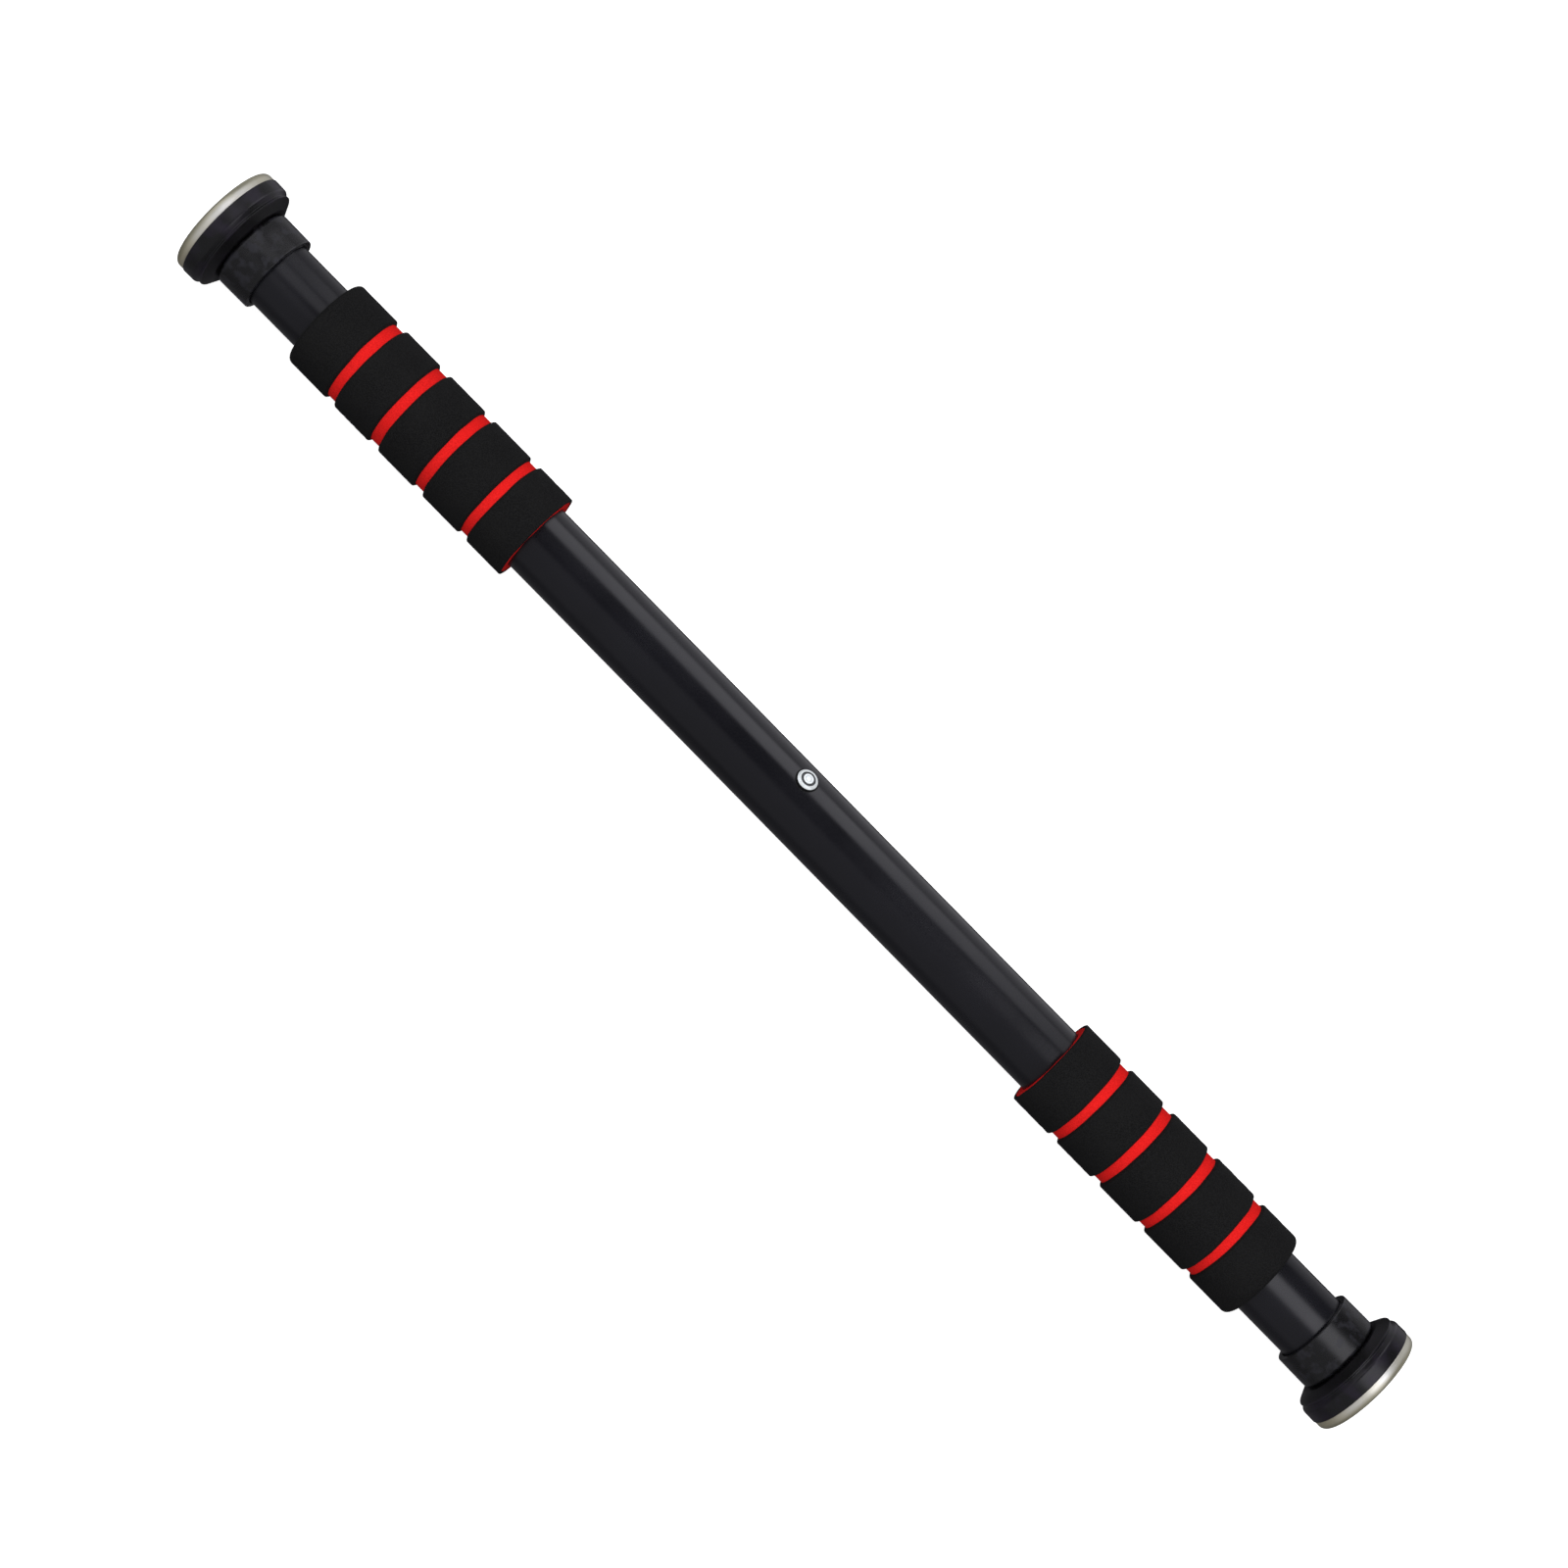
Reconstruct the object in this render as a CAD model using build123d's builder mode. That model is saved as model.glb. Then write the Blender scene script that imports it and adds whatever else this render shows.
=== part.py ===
from build123d import *
import math
import os

# A telescoping doorway pull up bar, screwed in to its shortest length.
# Millimetres, +Z up. X runs along the bar, and the origin is the middle of its axis.
# Each end is alike: a threaded tube with a foot on it turns in a nut inside the main tube.
# A place along the bar is its distance from the middle, counted outwards on either side.

# ---- driving dimensions ----
overall_length = 680.0
foot_travel = 160.0

tube_radius = 16.0
tube_wall = 1.2
tube_end = 318.0

stiffener_half_length = 80.0
stiffener_wall = 1.5

rivet_place = -2.6
rivet_tilt = 37.5
rivet_shank_radius = 2.4
rivet_bore_radius = 1.35
rivet_head_radius = 4.75
rivet_head_height = 1.65

collar_radius = 19.0
collar_lip = 305.9
collar_end = 322.4

nut_length = 35.0
screw_radius = 12.5
screw_bore_radius = 9.0
journal_radius = 11.0

cup_back = 322.9
cup_back_radius = 20.2
cone_end = 325.5
cone_end_radius = 25.2
shoulder_end = 328.4
cup_front = 334.5
cup_radius = 26.75
plate_radius = 26.4
plate_sheet = 1.5
plate_edge = 2.2
pad_radius = 20.0
pad_proud = 0.6

grip_radius = 21.65
core_radius = 20.05
groove_flare = 1.0
# inner end, outer end, radius of the outer corner, and each cut groove: its middle and its floor's width
grips = {
    "left": (153.2, 278.5, 2.2, ((175.2, 4.0), (201.9, 4.5), (228.2, 4.8), (253.8, 4.5))),
    "right": (151.3, 276.5, 2.6, ((174.5, 4.2), (199.6, 4.5), (225.9, 4.4), (253.1, 3.9))),
}
sides = {"left": -1, "right": 1}

# ---- clearances between pieces ----
snug = 0.05          # pressed or glued pieces, left just apart
running = 0.08       # a turning or sliding fit, on the radius
face_gap = 0.1       # between end faces
stop_gap = 9.0       # what is left between guide and nut with the foot fully out

# ---- places worked out from them ----
tube_bore = tube_radius - tube_wall
pad_face = overall_length / 2
plate_face = pad_face - pad_proud
nut_inner_end = tube_end - nut_length
journal_end = nut_inner_end - foot_travel - stop_gap
screw_inner_end = journal_end - 14.0
cup_floor = cup_front - 4.0
recess_floor = plate_face - 1.4
well_floor = plate_face - 3.9
flange_front = well_floor - plate_sheet


def outward(side):
    """The plane of a turned outline: its x is the place along the bar, its y the radius."""
    return Plane(origin=(0, 0, 0), x_dir=(side, 0, 0), z_dir=(0, 0, side))


def write(piece, label):
    """Names a finished piece and writes it to its own file."""
    piece.part.label = label
    export_step(piece.part, f"parts/{label}.step")
    print(label, round(piece.part.volume))


# ---- the middle: tube, stiffener and the rivet that holds them together ----
tilt = math.radians(rivet_tilt)
rivet_axis = (0, math.sin(tilt), math.cos(tilt))
rivet_seat = (rivet_place, tube_radius * math.sin(tilt), tube_radius * math.cos(tilt))
rivet_top = Plane(origin=rivet_seat, x_dir=(1, 0, 0), z_dir=rivet_axis)
rivet_section = Plane(origin=rivet_seat, x_dir=(1, 0, 0), z_dir=(0, -math.cos(tilt), math.sin(tilt)))
rivet_hole_radius = rivet_shank_radius + snug


def make_main_tube():
    """Plain round tube with the rivet's hole through one wall."""
    with BuildPart() as main_tube:
        with BuildSketch(Plane.YZ):
            Circle(tube_radius)
            Circle(tube_bore, mode=Mode.SUBTRACT)
        extrude(amount=tube_end, both=True)
        with Locations(rivet_top):
            Hole(radius=rivet_hole_radius, depth=2 * tube_wall + 1)
    write(main_tube, "main_tube")


def make_centre_stiffener():
    """Inner sleeve behind the middle of the tube, drilled with it."""
    sleeve_radius = tube_bore - face_gap
    with BuildPart() as centre_stiffener:
        with BuildSketch(Plane.YZ):
            Circle(sleeve_radius)
            Circle(sleeve_radius - stiffener_wall, mode=Mode.SUBTRACT)
        extrude(amount=stiffener_half_length, both=True)
        with Locations(rivet_top):
            Hole(radius=rivet_hole_radius, depth=tube_wall + 2 * stiffener_wall + 1)
    write(centre_stiffener, "centre_stiffener")


def make_rivet():
    """Blind rivet: a domed sleeve with a sunk ring round its crown, set from outside, and its pulled pin inside it."""
    bulb_start, bulb_full, sleeve_end, bulb_radius = -2.95, -3.6, -6.0, 3.2
    rim_height = 0.45
    rim_undercut = 0.35
    dome_mid_radius, dome_mid_height = 4.15, 1.05
    crest_radius, crest_height = 3.35, 1.3
    ring_outer, ring_inner, ring_floor = 3.0, 2.45, 0.95
    crown_radius = 2.1
    with BuildPart() as rivet_body:
        with BuildSketch(rivet_section):
            with BuildLine():
                Line((rivet_bore_radius, sleeve_end), (bulb_radius, sleeve_end))
                Line((bulb_radius, sleeve_end), (bulb_radius, bulb_full))
                Line((bulb_radius, bulb_full), (rivet_shank_radius, bulb_start))
                Line((rivet_shank_radius, bulb_start), (rivet_shank_radius, face_gap / 5))
                Line((rivet_shank_radius, face_gap / 5), (rivet_head_radius - rim_undercut, face_gap / 5))
                Line((rivet_head_radius - rim_undercut, face_gap / 5), (rivet_head_radius, rim_height))
                ThreePointArc(
                    (rivet_head_radius, rim_height),
                    (dome_mid_radius, dome_mid_height),
                    (crest_radius, crest_height),
                )
                Line((crest_radius, crest_height), (ring_outer, ring_floor))
                Line((ring_outer, ring_floor), (ring_inner, ring_floor))
                Line((ring_inner, ring_floor), (crown_radius, rivet_head_height))
                Line((crown_radius, rivet_head_height), (rivet_bore_radius, rivet_head_height - 0.35))
                Line((rivet_bore_radius, rivet_head_height - 0.35), (rivet_bore_radius, sleeve_end))
            make_face()
        revolve(axis=Axis(rivet_seat, rivet_axis))
    write(rivet_body, "rivet_body")

    pin_radius = rivet_bore_radius - snug
    pin_head_radius, pin_head_length, pin_top = 2.3, 2.0, rivet_head_height - 0.65
    with BuildPart() as rivet_mandrel:
        with BuildSketch(rivet_section):
            with BuildLine():
                Polyline(
                    (0, pin_top),
                    (pin_radius - 0.35, pin_top),
                    (pin_radius, pin_top - 0.3),
                    (pin_radius, sleeve_end - snug),
                    (pin_head_radius, sleeve_end - snug),
                    (pin_head_radius, sleeve_end - pin_head_length / 2),
                    (pin_radius, sleeve_end - pin_head_length),
                    (0, sleeve_end - pin_head_length),
                    close=True,
                )
            make_face()
        revolve(axis=Axis(rivet_seat, rivet_axis))
    write(rivet_mandrel, "rivet_mandrel")


# ---- the grips: a red foam sleeve with black foam bands round it ----
def make_grip(end, side):
    """The red core reaches from end to end, and the last band covers its outer end."""
    inner_end, outer_end, corner, grooves = grips[end]
    core_bore = tube_radius + face_gap
    skin = grip_radius - core_radius
    with BuildPart() as grip_core:
        with BuildSketch(outward(side)):
            with BuildLine():
                Polyline(
                    (inner_end, core_bore),
                    (outer_end - skin - snug, core_bore),
                    (outer_end - skin - snug, core_radius),
                    (inner_end, core_radius),
                    close=True,
                )
            make_face()
        revolve(axis=Axis.X)
    write(grip_core, f"{end}_grip_core")

    band_bore = core_radius + snug
    starts = [inner_end] + [middle + floor / 2 for middle, floor in grooves]
    ends = [middle - floor / 2 for middle, floor in grooves]
    with BuildPart() as grip_bands:
        with BuildSketch(outward(side)):
            for number, (start, finish) in enumerate(zip(starts, ends)):
                first_flare = 0.4 if number == 0 else groove_flare
                with BuildLine():
                    Polyline(
                        (start, band_bore),
                        (finish, band_bore),
                        (finish - groove_flare, grip_radius),
                        (start + first_flare, grip_radius),
                        close=True,
                    )
                make_face()
            with BuildLine():
                FilletPolyline(
                    (starts[-1], band_bore),
                    (outer_end - skin, band_bore),
                    (outer_end - skin, core_bore),
                    (outer_end, core_bore),
                    (outer_end, grip_radius),
                    (starts[-1] + groove_flare, grip_radius),
                    radius=(0, 0, 0, 0, corner, 0),
                    close=True,
                )
            make_face()
        revolve(axis=Axis.X)
    write(grip_bands, f"{end}_grip_bands")


# ---- the tube's end: the nut pressed into it and the collar over it ----
def make_thread_nut(end, side):
    """Long nut in the tube's end. Its thread is drawn at the crests, as a plain bore."""
    with BuildPart() as thread_nut:
        with BuildSketch(outward(side)):
            with BuildLine():
                Polyline(
                    (nut_inner_end, screw_radius + running),
                    (tube_end - face_gap, screw_radius + running),
                    (tube_end - face_gap, tube_bore - snug),
                    (nut_inner_end, tube_bore - snug),
                    close=True,
                )
            make_face()
        revolve(axis=Axis.X)
    write(thread_nut, f"{end}_thread_nut")


def make_end_collar(end, side):
    """Moulded cap over the tube's end, with a hole that the screw comes out of."""
    lip_round, end_round, screw_hole_gap = 0.5, 1.6, 0.6
    with BuildPart() as end_collar:
        with BuildSketch(outward(side)):
            with BuildLine():
                FilletPolyline(
                    (collar_lip, tube_radius + snug),
                    (tube_end + face_gap, tube_radius + snug),
                    (tube_end + face_gap, screw_radius + screw_hole_gap),
                    (collar_end, screw_radius + screw_hole_gap),
                    (collar_end, collar_radius),
                    (collar_lip, collar_radius),
                    radius=(lip_round, 0, 0, 0, end_round, lip_round),
                    close=True,
                )
            make_face()
        revolve(axis=Axis.X)
    write(end_collar, f"{end}_end_collar")


# ---- the foot: the screw and everything that turns with it ----
clip_groove = screw_inner_end + 1.5
clip_width = 1.3
clip_depth = 0.6
guide_start = clip_groove + clip_width + face_gap
guide_finish = journal_end - face_gap


def make_lead_screw(end, side):
    """Threaded tube, drawn at the crests, with a plain journal at its inner end for the guide."""
    groove_bottom = journal_radius - clip_depth
    lead_in = 1.0
    with BuildPart() as lead_screw:
        with BuildSketch(outward(side)):
            with BuildLine():
                Polyline(
                    (screw_inner_end, screw_bore_radius),
                    (screw_inner_end, journal_radius - 0.5),
                    (screw_inner_end + 0.5, journal_radius),
                    (clip_groove, journal_radius),
                    (clip_groove, groove_bottom),
                    (clip_groove + clip_width, groove_bottom),
                    (clip_groove + clip_width, journal_radius),
                    (journal_end, journal_radius),
                    (journal_end, screw_radius - lead_in),
                    (journal_end + lead_in, screw_radius),
                    (cup_floor, screw_radius),
                    (cup_floor, screw_bore_radius),
                    close=True,
                )
            make_face()
        revolve(axis=Axis.X)
    write(lead_screw, f"{end}_lead_screw")


def make_guide_bushing(end, side):
    """Nylon ring that keeps the screw's inner end in the middle of the tube. Relief flutes run along it."""
    flute_radius, flute_count = 1.1, 6
    bushing_radius = tube_bore - running
    with BuildPart() as guide_bushing:
        with BuildSketch(Plane.YZ.offset(side * guide_start)):
            Circle(bushing_radius)
            Circle(journal_radius + snug, mode=Mode.SUBTRACT)
            with PolarLocations(bushing_radius + flute_radius / 3, flute_count):
                Circle(flute_radius, mode=Mode.SUBTRACT)
        extrude(amount=side * (guide_finish - guide_start))
    write(guide_bushing, f"{end}_guide_bushing")


def make_guide_clip(end, side):
    """Open spring ring in the journal's groove, which holds the guide on."""
    opening, ring_outer = 5.0, 13.0
    with BuildPart() as guide_clip:
        with BuildSketch(Plane.YZ.offset(side * (clip_groove + face_gap / 2))):
            Circle(ring_outer)
            Circle(journal_radius - clip_depth + snug, mode=Mode.SUBTRACT)
            with Locations((0, ring_outer)):
                Rectangle(opening, 2 * (ring_outer - journal_radius + clip_depth + 1), mode=Mode.SUBTRACT)
        extrude(amount=side * (clip_width - face_gap))
    write(guide_clip, f"{end}_guide_clip")


flange_start = cup_floor + snug
ring_front = recess_floor - plate_sheet - snug
hub_radius = 21.5
well_radius = 9.0


def make_screw_flange(end, side):
    """Steel disc on the screw's outer end. Its hub plugs the screw and is tapped for the foot's bolt."""
    hub_length, tapped_radius, tapped_depth = 20.0, 4.0, 20.5
    with BuildPart() as screw_flange:
        with BuildSketch(outward(side)):
            with BuildLine():
                Polyline(
                    (flange_start - hub_length, 0),
                    (flange_start - hub_length, screw_bore_radius - snug),
                    (flange_start, screw_bore_radius - snug),
                    (flange_start, hub_radius),
                    (flange_front, hub_radius),
                    (flange_front, tapped_radius),
                    (flange_front - tapped_depth, tapped_radius),
                    (flange_front - tapped_depth - tapped_radius / 2, 0),
                    close=True,
                )
            make_face()
        revolve(axis=Axis.X)
    write(screw_flange, f"{end}_screw_flange")


def make_load_ring(end, side):
    """Hard plastic ring between the flange and the plate's face, round the plate's well."""
    with BuildPart() as load_ring:
        with BuildSketch(outward(side)):
            with BuildLine():
                Polyline(
                    (flange_front + snug, well_radius + plate_sheet + 2 * snug),
                    (ring_front, well_radius + plate_sheet + 2 * snug),
                    (ring_front, hub_radius),
                    (flange_front + snug, hub_radius),
                    close=True,
                )
            make_face()
        revolve(axis=Axis.X)
    write(load_ring, f"{end}_load_ring")


def make_foot_cup(end, side):
    """Black moulded cup round the flange, open to the front. Its back is a blunt cone up to a sloping shoulder."""
    neck_hole = screw_radius + running
    spigot_radius, spigot_end, cup_bore = 24.6, plate_face - 2.8, 22.0
    with BuildPart() as foot_cup:
        with BuildSketch(outward(side)):
            with BuildLine():
                FilletPolyline(
                    (cup_back, neck_hole),
                    (cup_back, cup_back_radius),
                    (cone_end, cone_end_radius),
                    (shoulder_end, cup_radius - 0.1),
                    (cup_front, cup_radius),
                    (cup_front, spigot_radius),
                    (spigot_end, spigot_radius),
                    (spigot_end, cup_bore),
                    (cup_floor, cup_bore),
                    (cup_floor, neck_hole),
                    radius=(0, 0.9, 0.6, 2.4, 0.3, 0, 0.3, 0, 0, 0),
                    close=True,
                )
            make_face()
        revolve(axis=Axis.X)
    write(foot_cup, f"{end}_foot_cup")


def make_foot_plate(end, side):
    """Pressed steel dish: a rolled rim over the cup, a recess for the pad and a well for the bolt's head."""
    recess_radius = pad_radius + 0.3
    bolt_hole = 4.2
    inner_edge = plate_edge - plate_sheet
    rim_back = cup_front + snug
    with BuildPart() as foot_plate:
        with BuildSketch(outward(side)):
            with BuildLine():
                FilletPolyline(
                    (rim_back, plate_radius),
                    (plate_face, plate_radius),
                    (plate_face, recess_radius),
                    (recess_floor, recess_radius),
                    (recess_floor, well_radius),
                    (well_floor, well_radius),
                    (well_floor, bolt_hole),
                    (well_floor - plate_sheet + snug, bolt_hole),
                    (well_floor - plate_sheet + snug, well_radius + plate_sheet),
                    (recess_floor - plate_sheet, well_radius + plate_sheet),
                    (recess_floor - plate_sheet, recess_radius + plate_sheet),
                    (plate_face - plate_sheet, recess_radius + plate_sheet),
                    (plate_face - plate_sheet, plate_radius - plate_sheet),
                    (rim_back, plate_radius - plate_sheet),
                    radius=(0, plate_edge, 0.3, 0, 0.5, 0, 0, 0, 0.5, 0, 0, 0, inner_edge, 0),
                    close=True,
                )
            make_face()
        revolve(axis=Axis.X)
    write(foot_plate, f"{end}_foot_plate")


def make_friction_pad(end, side):
    """Rubber disc glued into the plate's recess, with three round grooves in its face."""
    pad_back = recess_floor + snug
    groove_width, groove_depth = 1.5, 0.8
    with BuildPart() as friction_pad:
        with BuildSketch(Plane.YZ.offset(side * pad_back)):
            Circle(pad_radius)
        extrude(amount=side * (pad_face - pad_back))
        with BuildSketch(Plane.YZ.offset(side * pad_face)):
            for groove_radius in (16.0, 11.5, 7.0):
                Circle(groove_radius)
                Circle(groove_radius - groove_width, mode=Mode.SUBTRACT)
        extrude(amount=-side * groove_depth, mode=Mode.SUBTRACT)
    write(friction_pad, f"{end}_friction_pad")


def make_foot_bolt(end, side):
    """Low headed socket bolt in the plate's well, screwed into the flange's hub."""
    head_seat = well_floor + snug
    head_height, head_radius, shank_radius, shank_length = 2.2, 7.0, 3.95, 20.0
    socket_flats, socket_depth = 5.0, 1.4
    with BuildPart() as foot_bolt:
        with BuildSketch(outward(side)):
            with BuildLine():
                FilletPolyline(
                    (head_seat - shank_length, 0),
                    (head_seat - shank_length, shank_radius),
                    (head_seat, shank_radius),
                    (head_seat, head_radius),
                    (head_seat + head_height, head_radius),
                    (head_seat + head_height, 0),
                    radius=(0, 0.6, 0, 0, 0.8, 0),
                    close=True,
                )
            make_face()
        revolve(axis=Axis.X)
        with BuildSketch(Plane.YZ.offset(side * (head_seat + head_height))):
            RegularPolygon(radius=socket_flats / 2, side_count=6, major_radius=False)
        extrude(amount=-side * socket_depth, mode=Mode.SUBTRACT)
    write(foot_bolt, f"{end}_foot_bolt")


os.makedirs("parts", exist_ok=True)
make_main_tube()
make_centre_stiffener()
make_rivet()
for end, side in sides.items():
    make_grip(end, side)
    make_thread_nut(end, side)
    make_end_collar(end, side)
    make_lead_screw(end, side)
    make_guide_bushing(end, side)
    make_guide_clip(end, side)
    make_screw_flange(end, side)
    make_load_ring(end, side)
    make_foot_cup(end, side)
    make_foot_plate(end, side)
    make_friction_pad(end, side)
    make_foot_bolt(end, side)
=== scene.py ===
import math

import bpy
import numpy as np
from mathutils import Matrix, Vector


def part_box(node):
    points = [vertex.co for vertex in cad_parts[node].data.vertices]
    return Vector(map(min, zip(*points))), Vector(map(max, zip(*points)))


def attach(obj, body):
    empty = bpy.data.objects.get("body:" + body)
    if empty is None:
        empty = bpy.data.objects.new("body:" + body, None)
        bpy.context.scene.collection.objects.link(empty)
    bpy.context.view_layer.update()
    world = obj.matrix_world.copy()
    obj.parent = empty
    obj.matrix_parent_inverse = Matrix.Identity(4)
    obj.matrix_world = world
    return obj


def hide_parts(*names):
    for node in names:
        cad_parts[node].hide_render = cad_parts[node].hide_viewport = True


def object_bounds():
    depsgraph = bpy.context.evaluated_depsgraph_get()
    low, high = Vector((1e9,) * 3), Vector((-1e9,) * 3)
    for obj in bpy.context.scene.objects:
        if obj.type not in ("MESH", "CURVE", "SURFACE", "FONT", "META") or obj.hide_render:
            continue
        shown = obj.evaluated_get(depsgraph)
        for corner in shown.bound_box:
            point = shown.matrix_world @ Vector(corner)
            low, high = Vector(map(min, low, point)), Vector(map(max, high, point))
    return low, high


# A telescoping doorway pull up bar, screwed in to its shortest length.
# Shapes are worked out in millimetres and put into the meshes in metres. X runs along the bar.
# A place along the bar is its distance from the middle, counted outwards on either side.

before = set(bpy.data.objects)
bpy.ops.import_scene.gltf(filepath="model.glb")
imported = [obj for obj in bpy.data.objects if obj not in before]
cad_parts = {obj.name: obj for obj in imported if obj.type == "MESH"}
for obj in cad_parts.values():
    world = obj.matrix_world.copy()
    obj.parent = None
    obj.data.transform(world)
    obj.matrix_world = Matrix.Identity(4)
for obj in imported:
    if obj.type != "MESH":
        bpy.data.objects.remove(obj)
cad_low, cad_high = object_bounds()

MM = 0.001
ROUND = 2 * math.pi
SIDES = {"left": -1, "right": 1}

# gap between two pieces that fit into each other
FIT = 0.05
TUBE_RADIUS = 16.0
TUBE_WALL = 1.2
# the rivet's place along the bar, and its lean from straight up towards +Y
RIVET_PLACE = -2.6
RIVET_TILT = math.radians(37.5)


def extent(node):
    """Nearest and farthest place of a CAD node from the bar's middle, and its radius, in millimetres."""
    low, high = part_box(node)
    places = sorted((abs(low.x) / MM, abs(high.x) / MM))
    return places[0], places[1], high.z / MM


# ---------------------------------------------------------------- shapes


def rounded(corners, arc_steps=7, run_steps=6, looped=True):
    """Outline through corners (place, radius, rounding).

    Each corner becomes the arc that touches both of its runs. A point on the arc is its centre plus
    the two end spokes, weighted by the sines of the angle left and the angle gone. Each run between
    two arcs is divided at even angles of a half circle, so its points crowd towards its ends.
    An outline that isn't looped starts and ends on the bar's axis.
    """
    corners = np.array(corners, float)
    here = corners[:, :2]
    size = corners[:, 2:]
    back = np.roll(here, 1, axis=0) - here
    ahead = np.roll(here, -1, axis=0) - here
    back /= np.linalg.norm(back, axis=1, keepdims=True)
    ahead /= np.linalg.norm(ahead, axis=1, keepdims=True)
    half = np.arccos(np.clip((back * ahead).sum(axis=1, keepdims=True), -1, 1)) / 2
    inward = (back + ahead) / np.linalg.norm(back + ahead, axis=1, keepdims=True)
    centre = here + inward * size / np.sin(half)
    first_spoke = here + back * size / np.tan(half) - centre
    last_spoke = here + ahead * size / np.tan(half) - centre
    turn = (math.pi - 2 * half)[:, None]
    gone = np.linspace(0, 1, arc_steps)[None, :, None]
    spokes = np.sin((1 - gone) * turn) * first_spoke[:, None] + np.sin(gone * turn) * last_spoke[:, None]
    arcs = centre[:, None] + spokes / np.sin(turn)
    start = arcs[:, -1:]
    finish = np.roll(arcs[:, :1], -1, axis=0)
    share = (1 - np.cos(np.pi * np.arange(1, run_steps) / run_steps))[None, :, None] / 2
    runs = start + (finish - start) * share
    outline = np.concatenate([arcs, runs], axis=1).reshape(-1, 2)
    if not looped:
        outline = outline[: 1 - run_steps]
    gap = np.linalg.norm(np.diff(outline, axis=0), axis=1)
    return outline[np.concatenate([[True], gap > 1e-6])]


def ring_angles(steps):
    """Row of even angles round the bar, counted from +Y towards +Z."""
    return np.linspace(0, ROUND, steps, endpoint=False)[None, :]


def turned(outline, side=1, steps=192, along=0.0, outwards=0.0):
    """Turned surface: each outline point (place, radius) sweeps a ring round the X axis.

    `along` and `outwards` are added to the place and the radius of each point of each ring.
    """
    angle = ring_angles(steps)
    place = side * (outline[:, :1] + along)
    radius = outline[:, 1:] + outwards
    rows = np.broadcast_arrays(place, radius * np.cos(angle), radius * np.sin(angle))
    return np.stack(rows, axis=-1)


def waver(steps, seed, size):
    """Small uneven wave round a ring, as a row.

    It is the sum of cosines of 2 to 11 turns with chance phases, each weaker than the one before it,
    scaled so that the whole has the given root mean square size.
    """
    chance = np.random.default_rng(seed)
    turns = np.arange(2, 12)[:, None]
    phase = chance.uniform(0, ROUND, turns.shape)
    wave = (np.cos(turns * ring_angles(steps) + phase) / turns**0.7).sum(axis=0, keepdims=True)
    return size * wave / np.sqrt((wave**2).mean())


def placed(name, data):
    """A new object with this mesh, lamp or camera, in the scene."""
    made = bpy.data.objects.new(name, data)
    bpy.context.scene.collection.objects.link(made)
    return made


def piece(name, points, body, finish, replaces=(), looped=True, crease=35):
    """Makes a closed piece from a grid of points (rows, columns, 3).

    Four neighbours make a face, the last column joins the first, and in a looped outline so does
    the last row. Otherwise the first and last rows are poles, one point each, ringed by triangles.
    If the faces enclose a negative volume, they are all turned over. An edge that bends by more than
    `crease` degrees stays sharp.
    """
    if looped:
        grid = points
        poles = np.zeros((0, 3))
    else:
        grid = points[1:-1]
        poles = points[[0, -1], 0]
    rows, columns = grid.shape[:2]
    row = np.arange(rows if looped else rows - 1)[:, None]
    column = np.arange(columns)[None, :]
    row_after = (row + 1) % rows
    column_after = (column + 1) % columns
    corners = np.broadcast_arrays(
        row * columns + column,
        row * columns + column_after,
        row_after * columns + column_after,
        row_after * columns + column,
    )
    quads = np.stack(corners, axis=-1).reshape(-1, 4)
    vertices = np.concatenate([grid.reshape(-1, 3), poles]) * MM
    fans = np.zeros((0, 3), int)
    if not looped:
        this = np.arange(columns)
        after = (this + 1) % columns
        last_ring = (rows - 1) * columns
        pole = np.full(columns, rows * columns)
        first = np.stack([after, this, pole], axis=-1)
        last = np.stack([last_ring + this, last_ring + after, pole + 1], axis=-1)
        fans = np.concatenate([first, last])
    triangles = np.concatenate([quads[:, [0, 1, 2]], quads[:, [0, 2, 3]], fans])
    a, b, c = (vertices[triangles[:, k]] for k in range(3))
    if (a * np.cross(b, c)).sum() < 0:
        quads = quads[:, ::-1]
        fans = fans[:, ::-1]
    mesh = bpy.data.meshes.new(name)
    mesh.from_pydata(vertices.tolist(), [], quads.tolist() + fans.tolist())
    mesh.shade_smooth()
    mesh.set_sharp_from_angle(angle=math.radians(crease))
    mesh.materials.append(finish)
    made = placed(name, mesh)
    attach(made, body)
    if replaces:
        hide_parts(*replaces)
    return made


# ---------------------------------------------------------------- finishes


class Flow:
    """A value that travels through a finish's nodes. Arithmetic on it adds Math nodes."""

    def __init__(self, finish, socket):
        self.finish = finish
        self.socket = socket

    def math(self, operation, first, second):
        return self.finish.node("ShaderNodeMath", {"operation": operation}, {0: first, 1: second})

    def __add__(self, other):
        return self.math("ADD", self, other)

    def __sub__(self, other):
        return self.math("SUBTRACT", self, other)

    def __rsub__(self, other):
        return self.math("SUBTRACT", other, self)

    def __mul__(self, other):
        return self.math("MULTIPLY", self, other)

    def __pow__(self, other):
        return self.math("POWER", self, other)

    __radd__ = __add__
    __rmul__ = __mul__


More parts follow.
